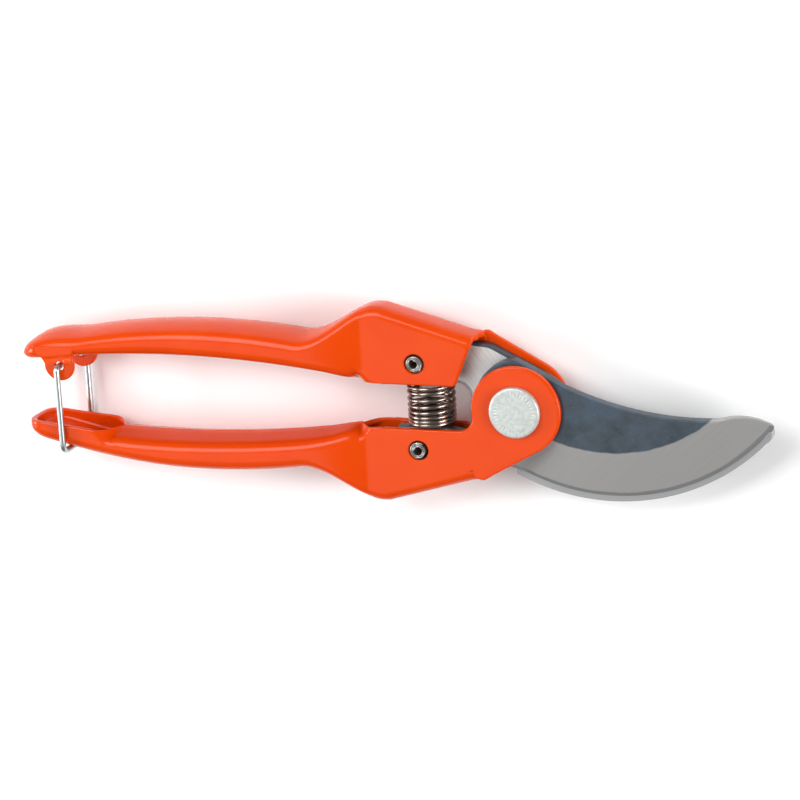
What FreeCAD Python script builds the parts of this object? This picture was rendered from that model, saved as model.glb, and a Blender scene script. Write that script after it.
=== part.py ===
"""Bypass pruning shears with pressed-steel handles, lying closed on their far side.

Row frame, in millimetres: X runs along the tool to the blade tip, Y in the plane of the blades
towards the upper handle, Z through the thickness. The origin is on the pivot axis, on the
outer face of the pivot nut, which is the lowest face. Pieces are built about the plane in which
the two blades meet, and lifted by CONTACT_HEIGHT at the end. The lower handle is the upper
stamping turned half round about X, so both are drawn in the upper position.
"""
import FreeCAD, Part
import math
import os
from FreeCAD import Vector

# Pivot stack, from the contact plane outwards
BLADE_GAP = 0.10            # running gap between the two blades
PLATE = 3.75                # thickness of each blade plate
SEAT_GAP = 0.10             # between a plate and the handle wall beside it
WALL = 1.80                 # coated sheet of the handles
WASHER_THICKNESS = 1.20
NUT_HEIGHT = 4.70
STACK_GAP = 0.05            # between flat faces clamped by the bolt

# Pivot hardware
BOLT_RADIUS = 4.00
BOLT_HEAD_RADIUS = 7.30
BOLT_HEAD_HEIGHT = 1.60
BOLT_HEAD_EDGE = 0.35
RUNNING_CLEARANCE = 0.05    # radial, on the bolt and on the coiled pins
NUT_FLATS = 13.0
WASHER_RADIUS = 8.0

# Handle stamping, seen from the side
EAR_RADIUS = 13.0
EAR_THROAT_RADIUS = 4.0     # concave corner between the ear and the channel rim
WEB_FRONT_X = -11.0         # front end of the channel's back
WEB_FRONT_Y = 20.5
KNEE_X = -39.0              # the outer bend of the handle
KNEE_Y = 28.8
RIM_Y = 6.4                 # channel rim beside the spring
SHORT_WALL_RIM_X = -17.4    # slanted front edge of the wall that has no ear
SHORT_WALL_BACK_X = -12.1
CHANNEL_END_X = -43.5       # the channel closes into the grip here
GRIP_HALF_WIDTH = 9.0
NECK_END_X = -65.0          # the grip has its full width from here
GRIP_INNER_START_X = -63.0  # between here and the channel it falls to the level rim
GRIP_END_X = -142.0         # the end begins to round off here
GRIP_BACK_CREST = (-94.0, 21.45)
GRIP_BACK_FALL = 5.35       # fall of the outer line from its crest to the grip's end
GRIP_INNER_CREST = (-104.0, 13.2)
GRIP_INNER_FALL = 2.10
OUTER_CORNER = 4.2          # section corners of the grip
INNER_CORNER = 2.9
CHANNEL_CORNER = 2.1        # section corners of the channel
SEAM_WIDTH = 0.5

# The two rounded ends, with lengths measured from the grip's end
UPPER_TIP_LENGTH = 8.9
UPPER_TIP_DROP = 2.8        # fall of the outer line over the tip
UPPER_TIP_RISE = 1.2        # rise of the inner line over the tip
UPPER_SWELL = 1.3           # the outer line stands this much prouder near the tip
UPPER_SWELL_FROM = 12.0     # it begins this far in front of the grip's end
LOWER_TIP_LENGTH = 7.4
LOWER_TIP_DROP = 2.0
LOWER_TIP_RISE = 2.2
LOWER_SWELL = -1.5          # the lower handle's outer line is drawn in instead
LOWER_SWELL_FROM = 42.0
SCOOP_RIM_RISE = 2.6        # the scoop's rim stands this much nearer the tool's axis
SCOOP_RIM_FROM = 27.0       # the rise begins and is complete this far in front of the end
SCOOP_RIM_FULL = 14.0
SCOOP_LENGTH = 16.0         # opening of the lower handle's end, in front of the grip's end
SCOOP_RIM = 1.9             # rim left around that opening
TIP_NARROWING = 0.85        # share of the squared width that is lost at the tip
TIP_STATIONS = (0.4, 0.7, 0.9, 1.0)

# Closing loop and the lugs that carry it
WIRE_RADIUS = 0.90
LOOP_SETBACK = 4.8          # the loop hangs this far in front of the grip's end
LOOP_HOLE_Y = 8.7
LOOP_HOLE_RADIUS = 1.35
LUG_RADIUS = 4.6
LOOP_SIDE_GAP = 0.40        # wire to handle side
LOOP_NOTCH = 1.00           # depth of the seat in the lower handle's back
LOOP_RELEASE = 24.0         # the seat follows the swinging bar through this angle
LOOP_GRIP_GAP = 0.20        # wire to that seat
LOOP_BEND = 2.4             # bend radius of the wire at the bar and at the lugs
STUB_BEND = 1.45
STUB_REACH = 0.8            # the wire's end stands this far inside the lug

# Blades
HEAD_RADIUS = 14.5          # round part of each plate about the pivot
TANG_END_X = -38.0
TANG_EDGE_Y = 7.0
TANG_BACK_GAP = 0.40        # between the tang and the channel's back
PEG_TIP_Y = 3.6
PEG_CLEARANCE = 0.5         # between a peg's corner and the inside of the spring
TIP_X = 71.8                # blade tip; the shares below are of this length
TIP_ROUND = 1.5
EDGE_HEEL_X = -2.9          # the edge's line starts here, inside the round head
EDGE_BELLY = (0.362, -24.7)  # lowest point of the cutting edge: share of the length, height
EDGE_TIP_Y = -4.35
EDGE_THICKNESS = 0.40
BEVEL_WIDTH = 13.4
GRIND_START = (1.8, -18.1)  # the grinding runs out along a line through these points
GRIND_TURN = (11.9, -9.4)
SPINE_HEEL = (6.0, 10.6)
SPINE_DIP = (0.710, -0.95)  # lowest point of the spine: share of the length, height
SPINE_END_SETBACK = 14.8    # the spine's curve ends this far behind the tip
TIP_HUMP = (5.5, 0.7)       # behind the tip, above the end of the spine's curve
HOOK_HEEL_X = -2.0
HOOK_BELLY = (0.357, -26.5)
HOOK_TIP_Y = -7.6
HOOK_TIP_SETBACK = 1.3      # the hook ends this far behind the cutting blade's tip
HOOK_JAW_START = (12.0, -8.0)
HOOK_JAW_MIDDLE = (0.515, -17.6)

# Spring and pins
SPRING_X = -26.2
SPRING_RADIUS = 6.3         # to the middle of the wire
SPRING_WIRE = 0.60
SPRING_TURNS = 7.5
SPRING_SEAT_GAP = 0.05
PIN_X = -29.0
PIN_Y = 12.6
PIN_RADIUS = 2.50
PIN_BORE = 1.30
PIN_SLIT = 0.45
PIN_PROUD = 0.20

# Values that follow from the sizes above
PLATE_INNER = BLADE_GAP / 2
PLATE_OUTER = PLATE_INNER + PLATE
CHANNEL_INNER = PLATE_OUTER + SEAT_GAP
CHANNEL_OUTER = CHANNEL_INNER + WALL
WASHER_FACE = CHANNEL_OUTER + STACK_GAP
NUT_FACE = WASHER_FACE + WASHER_THICKNESS + STACK_GAP
CONTACT_HEIGHT = NUT_FACE + NUT_HEIGHT
LOOP_LEG_Z = GRIP_HALF_WIDTH + LOOP_SIDE_GAP + WIRE_RADIUS
LOOP_SEAT_RADIUS = WIRE_RADIUS + LOOP_GRIP_GAP
LOOP_X = GRIP_END_X + LOOP_SETBACK
SCOOP_FRONT_X = GRIP_END_X + SCOOP_LENGTH
PEG_REACH = SPRING_RADIUS - SPRING_WIRE - PEG_CLEARANCE
PEG_HALF_WIDTH = math.sqrt(PEG_REACH ** 2 - PLATE_OUTER ** 2)
OVER = 1.0                  # how far a cutting tool runs past what it cuts


class Sweep:
    """A circular arc that is level at one point and passes through another."""

    def __init__(self, level, other):
        across, rise = other[0] - level[0], other[1] - level[1]
        self.side = math.copysign(1.0, rise)
        self.radius = (across ** 2 + rise ** 2) / (2 * abs(rise))
        self.centre = (level[0], level[1] + self.side * self.radius)

    def y(self, x):
        """Height of the arc at x."""
        reach = math.sqrt(self.radius ** 2 - (x - self.centre[0]) ** 2)
        return self.centre[1] - self.side * reach

    def point(self, x):
        """The point of the arc at x."""
        return (x, self.y(x))


def crest_sweep(crest, fall):
    """The flat arc that falls from its crest to the grip's end."""
    return Sweep(crest, (GRIP_END_X, crest[1] - fall))


def blade_sweep(level, other):
    """The arc of a blade's outline, level at a share of its length."""
    return Sweep((level[0] * TIP_X, level[1]), other)


GRIP_BACK = crest_sweep(GRIP_BACK_CREST, GRIP_BACK_FALL)
GRIP_INNER = crest_sweep(GRIP_INNER_CREST, GRIP_INNER_FALL)
HOOK_END_X = TIP_X - HOOK_TIP_SETBACK
EDGE = blade_sweep(EDGE_BELLY, (TIP_X - TIP_ROUND, EDGE_TIP_Y))
SPINE = blade_sweep(SPINE_DIP, SPINE_HEEL)
HOOK_BACK = blade_sweep(HOOK_BELLY, (HOOK_END_X - OVER, HOOK_TIP_Y))


def ease(x, start, end):
    """0 at start, 1 at end, with level ends between."""
    share = min(max((x - start) / (end - start), 0.0), 1.0)
    return share * share * (3 - 2 * share)


def back_line_y(x):
    """The outer line of the handle's side view, straight in front of the knee."""
    slope = (KNEE_Y - WEB_FRONT_Y) / (KNEE_X - WEB_FRONT_X)
    if x >= KNEE_X:
        return WEB_FRONT_Y + slope * (x - WEB_FRONT_X)
    return KNEE_Y + (GRIP_BACK.y(x) - KNEE_Y) * ease(x, KNEE_X, NECK_END_X)


def rim_line_y(x):
    """The inner line of the handle's side view, level along the channel."""
    return RIM_Y + (GRIP_INNER.y(x) - RIM_Y) * ease(x, KNEE_X, GRIP_INNER_START_X)


class End:
    """The rounded end of one handle: how far it reaches and how its two lines differ."""

    def __init__(self, length, drop, rise, swell, swell_from, scoop_rise):
        self.length, self.drop, self.rise = length, drop, rise
        self.swell, self.swell_from, self.scoop_rise = swell, swell_from, scoop_rise
        self.end_x = GRIP_END_X - length

    def share(self, x):
        """0 where the end begins to round off, 1 at its tip."""
        return min(max((GRIP_END_X - x) / self.length, 0.0), 1.0)

    def half_width(self, x):
        """Half the handle's width: narrow channel, wide grip, and a round end."""
        widening = (GRIP_HALF_WIDTH - CHANNEL_OUTER) * ease(x, KNEE_X, NECK_END_X)
        return (CHANNEL_OUTER + widening) * math.sqrt(1 - TIP_NARROWING * self.share(x) ** 2)

    def back_y(self, x):
        """The outer line with this end's swell and fall."""
        swell = self.swell * ease(x, GRIP_END_X + self.swell_from, GRIP_END_X)
        return back_line_y(x) + swell - self.drop * self.share(x) ** 2

    def rim_y(self, x):
        """The inner line with its rise at the tip."""
        along = ease(x, GRIP_END_X + SCOOP_RIM_FROM, GRIP_END_X + SCOOP_RIM_FULL)
        return rim_line_y(x) - self.scoop_rise * along + self.rise * self.share(x) ** 2


UPPER_END = End(UPPER_TIP_LENGTH, UPPER_TIP_DROP, UPPER_TIP_RISE,
                UPPER_SWELL, UPPER_SWELL_FROM, 0.0)
LOWER_END = End(LOWER_TIP_LENGTH, LOWER_TIP_DROP, LOWER_TIP_RISE,
                LOWER_SWELL, LOWER_SWELL_FROM, SCOOP_RIM_RISE)


def section(x, low, high, half, low_corner, high_corner):
    """Closed wire in the plane at x: a rectangle with two pairs of rounded corners."""
    def spot(y, z):
        return Vector(x, y, z)

    edges = []
    corners = [(high, half, high_corner, 1, 1), (high, -half, high_corner, 1, -1),
               (low, -half, low_corner, -1, -1), (low, half, low_corner, -1, 1)]
    ends = []
    for y, z, radius, y_side, z_side in corners:
        on_side = spot(y - y_side * radius, z)
        on_face = spot(y, z - z_side * radius)
        inset = radius * (1 - math.sqrt(0.5))
        middle = spot(y - y_side * inset, z - z_side * inset)
        first, last = (on_side, on_face) if y_side == z_side else (on_face, on_side)
        ends.append((first, middle, last))
    for number, (first, middle, last) in enumerate(ends):
        edges.append(Part.Arc(first, middle, last).toShape())
        following = ends[(number + 1) % len(ends)][0]
        edges.append(Part.LineSegment(last, following).toShape())
    return Part.Wire(edges)


def handle_section(x, inset, end):
    """Section of the handle at x, or of its hollow when inset is the wall."""
    grip_share = ease(x, CHANNEL_END_X, NECK_END_X)
    high_corner = CHANNEL_CORNER + (OUTER_CORNER - CHANNEL_CORNER) * grip_share
    low_corner = CHANNEL_CORNER + (INNER_CORNER - CHANNEL_CORNER) * grip_share
    half = end.half_width(x) - inset
    low, high = end.rim_y(x) + inset, end.back_y(x) - inset
    limit = 0.48 * min(half * 2, high - low)
    return section(x, low, high, half, min(max(low_corner - inset, 0.3), limit),
                   min(max(high_corner - inset, 0.3), limit))


def handle_loft(inset, front_x, end):
    """The handle's outer form, or its hollow, from front_x back to its end."""
    end_x = end.end_x + inset
    head = [handle_section(x, inset, end) for x in (front_x, KNEE_X)]
    neck = [KNEE_X + (NECK_END_X - KNEE_X) * step / 6 for step in range(7)]
    grip = [NECK_END_X + (GRIP_END_X - NECK_END_X) * step / 6 for step in range(1, 7)]
    tip = [GRIP_END_X + (end_x - GRIP_END_X) * share for share in TIP_STATIONS]
    body = [handle_section(x, inset, end) for x in neck + grip + tip]
    return Part.makeLoft(head, True, True).fuse(Part.makeLoft(body, True, False)).removeSplitter()


def box(x_low, x_high, y_low, y_high, z_low, z_high):
    """A box between two corners."""
    corner = Vector(x_low, y_low, z_low)
    return Part.makeBox(x_high - x_low, y_high - y_low, z_high - z_low, corner)


def cylinder(x, y, radius, z_low, z_high):
    """A cylinder along Z."""
    return Part.makeCylinder(radius, z_high - z_low, Vector(x, y, z_low))


def prism(edges, z_low, z_high):
    """A plate whose outline is the given edges, between two heights."""
    face = Part.Face(Part.Wire(Part.sortEdges(edges)[0]))
    face.translate(Vector(0, 0, z_low))
    return face.extrude(Vector(0, 0, z_high - z_low))


def lines(points):
    """Straight edges through the points, in order."""
    corners = [Vector(x, y, 0) for x, y in points]
    return [Part.LineSegment(a, b).toShape() for a, b in zip(corners, corners[1:])]


def arc(first, middle, last):
    """An arc through three points."""
    return Part.Arc(Vector(*first, 0), Vector(*middle, 0), Vector(*last, 0)).toShape()


def turned_over(shape):
    """A copy turned half round about the tool's long axis."""
    copy = shape.copy()
    copy.rotate(Vector(0, 0, 0), Vector(1, 0, 0), 180)
    return copy


def ear():
    """The far wall's round ear about the pivot, blended into the channel rim and back."""
    reach = EAR_RADIUS + EAR_THROAT_RADIUS
    throat = Vector(-math.sqrt(reach ** 2 - (RIM_Y - EAR_THROAT_RADIUS) ** 2),
                    RIM_Y - EAR_THROAT_RADIUS, 0)
    touch = throat * (EAR_RADIUS / reach)
    middle = throat + Vector(math.sqrt(0.5), math.sqrt(0.5), 0) * EAR_THROAT_RADIUS
    back_angle = math.atan2(WEB_FRONT_Y, WEB_FRONT_X)
    back_turn = math.acos(EAR_RADIUS / math.hypot(WEB_FRONT_X, WEB_FRONT_Y))
    tangent = (EAR_RADIUS * math.cos(back_angle - back_turn),
               EAR_RADIUS * math.sin(back_angle - back_turn))
    edges = [arc((throat.x, RIM_Y), (middle.x, middle.y), (touch.x, touch.y))]
    edges += lines([(touch.x, touch.y), (0, 0), tangent, (WEB_FRONT_X, WEB_FRONT_Y),
                    (PIN_X, WEB_FRONT_Y), (PIN_X, RIM_Y), (throat.x, RIM_Y)])
    plate = prism(edges, -CHANNEL_OUTER, -CHANNEL_INNER)
    return plate.fuse(cylinder(0, 0, EAR_RADIUS, -CHANNEL_OUTER, -CHANNEL_INNER))


def lug(side):
    """Half-round lug that carries one end of the loop, hung from the handle's side wall."""
    outer = side * GRIP_HALF_WIDTH
    inner = side * (GRIP_HALF_WIDTH - WALL)
    low, high = min(outer, inner), max(outer, inner)
    wall_y = rim_line_y(LOOP_X) + INNER_CORNER + OVER
    plate = box(LOOP_X - LUG_RADIUS, LOOP_X + LUG_RADIUS, LOOP_HOLE_Y, wall_y, low, high)
    return plate.fuse(cylinder(LOOP_X, LOOP_HOLE_Y, LUG_RADIUS, low, high))


def stamping(end):
    """What both handles share, in the upper position: a channel, a rolled grip and one ear."""
    shell = handle_loft(0, WEB_FRONT_X, end).cut(handle_loft(WALL, WEB_FRONT_X + OVER, end))
    throat = box(CHANNEL_END_X, WEB_FRONT_X + OVER, 0, RIM_Y + WALL + OVER,
                 -CHANNEL_INNER, CHANNEL_INNER)
    seam = box(SCOOP_FRONT_X, CHANNEL_END_X, 0, GRIP_INNER_CREST[1] + WALL + OVER,
               -SEAM_WIDTH / 2, SEAM_WIDTH / 2)
    back_y = back_line_y(SHORT_WALL_BACK_X)
    short_wall = prism(lines([(SHORT_WALL_RIM_X, RIM_Y), (SHORT_WALL_BACK_X, back_y),
                              (0, back_y), (0, RIM_Y - OVER), (SHORT_WALL_RIM_X, RIM_Y - OVER),
                              (SHORT_WALL_RIM_X, RIM_Y)]), CHANNEL_INNER, CHANNEL_OUTER + OVER)
    shell = shell.cut(throat).cut(seam).cut(short_wall).fuse(ear())
    shell = shell.cut(cylinder(0, 0, BOLT_RADIUS + RUNNING_CLEARANCE, -CHANNEL_OUTER - OVER, 0))
    pin_hole = cylinder(PIN_X, PIN_Y, PIN_RADIUS + RUNNING_CLEARANCE,
                        -CHANNEL_OUTER - OVER, CHANNEL_OUTER + OVER)
    return shell.cut(pin_hole)


def upper_handle():
    """The stamping with a closed end and a drilled lug on each side for the loop."""
    shell = stamping(UPPER_END).fuse([lug(1), lug(-1)])
    hole = cylinder(LOOP_X, LOOP_HOLE_Y, LOOP_HOLE_RADIUS,
                    -GRIP_HALF_WIDTH - OVER, GRIP_HALF_WIDTH + OVER)
    return shell.cut(hole)


def lower_handle():
    """The stamping turned over, with its end left open like a scoop and a seat for the loop."""
    half = GRIP_HALF_WIDTH - WALL
    scoop_y = LOWER_END.rim_y(GRIP_END_X) + WALL + LOWER_TIP_RISE
    scoop = box(LOWER_END.end_x + SCOOP_RIM, SCOOP_FRONT_X, 0, scoop_y, -half, half)
    scoop = scoop.makeFillet(half / 2, [e for e in scoop.Edges if is_upright(e, Vector(0, 1, 0))])
    return turned_over(stamping(LOWER_END).cut(scoop)).cut(loop_seat())


def loop_bar_y():
    """Height of the loop's bar, seated in the lower handle's back."""
    return LOOP_NOTCH - LOWER_END.back_y(LOOP_X) - LOOP_SEAT_RADIUS


def loop_seat():
    """The room the bar needs in the lower handle's back, to sit and to swing off its end."""
    reach = LOOP_HOLE_Y - loop_bar_y()
    width = (-GRIP_HALF_WIDTH - OVER, GRIP_HALF_WIDTH + OVER)
    ring = cylinder(LOOP_X, LOOP_HOLE_Y, reach + LOOP_SEAT_RADIUS, *width)
    ring = ring.cut(cylinder(LOOP_X, LOOP_HOLE_Y, reach - LOOP_SEAT_RADIUS, *width))
    fall = 2 * reach / math.tan(math.radians(90 - LOOP_RELEASE))
    sector = prism(lines([(LOOP_X, LOOP_HOLE_Y), (LOOP_X, LOOP_HOLE_Y - 2 * reach),
                          (LOOP_X - fall, LOOP_HOLE_Y - 2 * reach), (LOOP_X, LOOP_HOLE_Y)]), *width)
    return ring.common(sector).fuse(cylinder(LOOP_X, loop_bar_y(), LOOP_SEAT_RADIUS, *width))


def is_upright(edge, direction):
    """Whether a straight edge runs along the direction."""
    return abs(edge.tangentAt(edge.FirstParameter).dot(direction)) > 0.999


def tang():
    """Shank, round head and spring peg that both blades share, in the upper position."""
    back = WALL + TANG_BACK_GAP
    reach = HEAD_RADIUS + EAR_THROAT_RADIUS
    throat = Vector(-math.sqrt(reach ** 2 - (TANG_EDGE_Y - EAR_THROAT_RADIUS) ** 2),
                    TANG_EDGE_Y - EAR_THROAT_RADIUS, 0)
    touch = throat * (HEAD_RADIUS / reach)
    middle = throat + Vector(math.sqrt(0.5), math.sqrt(0.5), 0) * EAR_THROAT_RADIUS
    front = (WEB_FRONT_X, WEB_FRONT_Y - back)
    turn = math.atan2(front[1], front[0]) - math.acos(HEAD_RADIUS / math.hypot(*front))
    tangent = (HEAD_RADIUS * math.cos(turn), HEAD_RADIUS * math.sin(turn))
    edges = [arc((throat.x, TANG_EDGE_Y), (middle.x, middle.y), (touch.x, touch.y))]
    edges += lines([(touch.x, touch.y), (0, 0), tangent, front,
                    (TANG_END_X, back_line_y(TANG_END_X) - back), (TANG_END_X, TANG_EDGE_Y),
                    (throat.x, TANG_EDGE_Y)])
    plate = prism(edges, -PLATE_OUTER, -PLATE_INNER)
    peg = box(SPRING_X - PEG_HALF_WIDTH, SPRING_X + PEG_HALF_WIDTH, PEG_TIP_Y, TANG_EDGE_Y + OVER,
              -PLATE_OUTER, -PLATE_INNER)
    return plate.fuse([peg, cylinder(0, 0, HEAD_RADIUS, -PLATE_OUTER, -PLATE_INNER)])


def drilled(plate, pin_y):
    """A blade with its pivot hole and the hole for its coiled pin."""
    for x, y, radius in ((0, 0, BOLT_RADIUS), (PIN_X, pin_y, PIN_RADIUS)):
        plate = plate.cut(cylinder(x, y, radius + RUNNING_CLEARANCE,
                                   -PLATE_OUTER - OVER, PLATE_OUTER + OVER))
    return plate


def cutting_blade():
    """Convex blade on the near side, ground on its near face only."""
    heel, tip_low = EDGE.point(EDGE_HEEL_X), EDGE.point(TIP_X - TIP_ROUND)
    belly = EDGE.point(EDGE_BELLY[0] * TIP_X)
    tip_high = (tip_low[0], tip_low[1] + 2 * TIP_ROUND)
    spine_end = SPINE.point(TIP_X - SPINE_END_SETBACK)
    spine_middle = SPINE.point((SPINE_HEEL[0] + spine_end[0]) / 2)
    hump = (TIP_X - TIP_HUMP[0], spine_end[1] + TIP_HUMP[1])
    edges = [arc(heel, belly, tip_low), arc(tip_low, (TIP_X, tip_low[1] + TIP_ROUND), tip_high)]
    edges += lines([tip_high, hump, spine_end])
    edges += [arc(spine_end, spine_middle, SPINE_HEEL)]
    edges += lines([SPINE_HEEL, (0, 0), heel])
    plate = turned_over(tang()).fuse(prism(edges, PLATE_INNER, PLATE_OUTER))
    return drilled(plate.cut(bevel()), -PIN_Y)


def bevel():
    """What grinding takes off the cutting blade: a cone along its edge, from the heel on."""
    slope = (PLATE - EDGE_THICKNESS) / BEVEL_WIDTH
    inner, outer = EDGE.radius - BEVEL_WIDTH, EDGE.radius + OVER
    edge_height = PLATE_OUTER - slope * (outer - inner)
    profile = [(inner, PLATE_OUTER + OVER), (inner, PLATE_OUTER),
               (outer, edge_height), (outer, PLATE_OUTER + OVER)]
    corners = [Vector(EDGE.centre[0] + r, EDGE.centre[1], z) for r, z in profile]
    face = Part.Face(Part.makePolygon(corners + corners[:1]))
    ring = face.revolve(Vector(*EDGE.centre, 0), Vector(0, 0, 1), 360)
    start, turn = Vector(*GRIND_START, 0), Vector(*GRIND_TURN, 0)
    along = (turn - start).normalize()
    beyond, before = start + along * 2 * TIP_X, start - along * HEAD_RADIUS
    low = EDGE_BELLY[1] - HEAD_RADIUS
    ground = prism(lines([(before.x, before.y), (beyond.x, beyond.y), (beyond.x, low),
                          (before.x, low), (before.x, before.y)]), 0, PLATE_OUTER + 2 * OVER)
    return ring.common(ground)


def counter_blade():
    """Hooked blade on the far side, which the branch is held against."""
    heel, belly = HOOK_BACK.point(HOOK_HEEL_X), HOOK_BACK.point(HOOK_BELLY[0] * TIP_X)
    tip_low = HOOK_BACK.point(HOOK_END_X - OVER)
    tip = (HOOK_END_X, tip_low[1] + TIP_ROUND)
    jaw_middle = (HOOK_JAW_MIDDLE[0] * TIP_X, HOOK_JAW_MIDDLE[1])
    edges = [arc(heel, belly, tip_low), arc(tip, jaw_middle, HOOK_JAW_START)]
    edges += lines([tip_low, tip]) + lines([HOOK_JAW_START, (0, 0), heel])
    plate = tang().fuse(prism(edges, -PLATE_OUTER, -PLATE_INNER))
    return drilled(plate, PIN_Y)


def pivot_bolt():
    """Flat round head on the near ear, with a plain shank through the stack to the nut."""
    seat = CHANNEL_OUTER + STACK_GAP
    head = cylinder(0, 0, BOLT_HEAD_RADIUS, seat, seat + BOLT_HEAD_HEIGHT)
    rim = [e for e in head.Edges if e.Closed and e.CenterOfMass.z > seat + BOLT_HEAD_HEIGHT / 2]
    head = head.makeFillet(BOLT_HEAD_EDGE, rim)
    shank = cylinder(0, 0, BOLT_RADIUS, -CONTACT_HEIGHT, seat + BOLT_HEAD_HEIGHT / 2)
    return head.fuse(shank).removeSplitter()


def pivot_washer():
    """Flat washer between the far ear and the nut."""
    ring = cylinder(0, 0, WASHER_RADIUS, -WASHER_FACE - WASHER_THICKNESS, -WASHER_FACE)
    return ring.cut(cylinder(0, 0, BOLT_RADIUS + RUNNING_CLEARANCE, -CONTACT_HEIGHT, 0))


def pivot_nut():
    """Hexagonal lock nut on the far side, chamfered on its outer face."""
    radius = NUT_FLATS / 2 / math.cos(math.radians(30))
    corners = [(radius * math.cos(math.radians(60 * n)), radius * math.sin(math.radians(60 * n)))
               for n in range(7)]
    nut = prism(lines(corners), -CONTACT_HEIGHT, -NUT_FACE)
    cone = Part.makeCone(NUT_FLATS / 2, NUT_FLATS / 2 + 2 * NUT_HEIGHT, NUT_HEIGHT,
                         Vector(0, 0, -CONTACT_HEIGHT))
    return nut.common(cone).cut(cylinder(0, 0, BOLT_RADIUS + RUNNING_CLEARANCE / 2,
                                         -CONTACT_HEIGHT - OVER, 0))


def roll_pin(y):
    """Coiled spring pin across the channel, with the slit of its outer turn."""
    half = CHANNEL_OUTER + PIN_PROUD
    pin = cylinder(PIN_X, y, PIN_RADIUS, -half, half).cut(cylinder(PIN_X, y, PIN_BORE, -half, half))
    return pin.cut(box(PIN_X, PIN_X + PIN_RADIUS + OVER, y, y + PIN_SLIT, -half, half))


def spring():
    """Compression coil between the two channel rims, around the pegs of the blades."""
    end_y = RIM_Y - SPRING_SEAT_GAP - SPRING_WIRE
    pitch = 2 * end_y / SPRING_TURNS
    helix = Part.makeHelix(pitch, 2 * end_y, SPRING_RADIUS)
    circle = Part.Wire(Part.makeCircle(SPRING_WIRE, Vector(SPRING_RADIUS, 0, 0), Vector(0, 1, 0)))
    coil = Part.Wire(helix.Edges).makePipeShell([circle], True, True)
    coil.rotate(Vector(0, 0, 0), Vector(1, 0, 0), -90)
    coil.translate(Vector(SPRING_X, -end_y, 0))
    return coil


def wire_catch():
    """Bent wire loop: an end in each lug, a leg down each side, and a bar under the lower handle."""
    bar_y = loop_bar_y()
    stub_z = GRIP_HALF_WIDTH - WALL - STUB_REACH
    route = [(LOOP_HOLE_Y, stub_z), (LOOP_HOLE_Y, LOOP_LEG_Z), (bar_y, LOOP_LEG_Z),
             (bar_y, -LOOP_LEG_Z), (LOOP_HOLE_Y, -LOOP_LEG_Z), (LOOP_HOLE_Y, -stub_z)]
    corners = [Vector(LOOP_X, y, z) for y, z in route]
    bends = [0.0, STUB_BEND, LOOP_BEND, LOOP_BEND, STUB_BEND, 0.0]
    path = rounded_path(corners, bends)
    circle = Part.Wire(Part.makeCircle(WIRE_RADIUS, corners[0], Vector(0, 0, 1)))
    return path.makePipeShell([circle], True, False)


def rounded_path(corners, bends):
    """A wire of straight runs with a tangent arc at each inner corner, all turns square."""
    edges, start = [], corners[0]
    for before, corner, after, bend in zip(corners, corners[1:], corners[2:], bends[1:]):
        back, on = (before - corner).normalize(), (after - corner).normalize()
        first, last = corner + back * bend, corner + on * bend
        middle = corner + (back + on) * bend * (1 - math.sqrt(0.5))
        edges += [Part.LineSegment(start, first).toShape(), Part.Arc(first, middle, last).toShape()]
        start = last
    edges.append(Part.LineSegment(start, corners[-1]).toShape())
    return Part.Wire(edges)


NODES = {
    "upper_handle": upper_handle,
    "lower_handle": lower_handle,
    "cutting_blade": cutting_blade,
    "counter_blade": counter_blade,
    "pivot_bolt": pivot_bolt,
    "pivot_washer": pivot_washer,
    "pivot_nut": pivot_nut,
    "upper_roll_pin": lambda: roll_pin(PIN_Y),
    "lower_roll_pin": lambda: roll_pin(-PIN_Y),
    "spring": spring,
    "wire_catch": wire_catch,
}

os.makedirs("parts", exist_ok=True)
for node, make in NODES.items():
    shape = make()
    shape.translate(Vector(0, 0, CONTACT_HEIGHT))
    print(node, len(shape.Solids), "solid", round(shape.Volume), "mm3", shape.isValid())
    shape.exportStep(f"parts/{node}.step")
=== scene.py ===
"""Bypass pruning shears with pressed-steel handles, closed and held shut by a wire loop.

The pieces are made in the order in which the tool is put together. Sizes are in millimetres and
are turned to metres where a mesh is made. X runs to the blade tip, Y towards the upper handle and
Z along the pivot, from the nut up to the bolt head.
"""
import math

import bmesh
import bpy
import numpy as np
from mathutils import Matrix, Vector
from mathutils.geometry import delaunay_2d_cdt


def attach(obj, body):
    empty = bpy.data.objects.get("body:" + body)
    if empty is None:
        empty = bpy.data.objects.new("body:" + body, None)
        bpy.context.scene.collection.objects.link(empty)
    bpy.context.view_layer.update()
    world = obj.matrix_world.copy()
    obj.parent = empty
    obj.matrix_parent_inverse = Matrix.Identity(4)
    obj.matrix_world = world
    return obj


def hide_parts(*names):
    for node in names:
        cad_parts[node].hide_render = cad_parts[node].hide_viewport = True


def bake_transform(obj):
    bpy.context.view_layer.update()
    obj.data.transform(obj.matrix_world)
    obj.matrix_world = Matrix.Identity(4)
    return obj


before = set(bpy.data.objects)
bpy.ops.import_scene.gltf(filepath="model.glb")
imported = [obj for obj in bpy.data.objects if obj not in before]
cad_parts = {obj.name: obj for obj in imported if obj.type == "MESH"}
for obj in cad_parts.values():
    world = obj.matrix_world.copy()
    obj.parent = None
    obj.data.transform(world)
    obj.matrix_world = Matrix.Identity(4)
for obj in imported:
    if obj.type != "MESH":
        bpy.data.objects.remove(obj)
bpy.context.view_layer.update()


# ---------------------------------------------------------------- studio
# A pale floor with the tool lying on it, a broad soft light overhead and a softer one on the
# side that the blade points away from. The camera stands a little right of the tool's middle.
def srgb(code, alpha=1.0):
    """Turns a hex sRGB colour to the linear values that shaders take."""
    parts = np.array([int(code[i:i + 2], 16) for i in (1, 3, 5)]) / 255
    linear = np.where(parts <= 0.04045, parts / 12.92, ((parts + 0.055) / 1.055) ** 2.4)
    return (*linear.tolist(), alpha)


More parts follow.
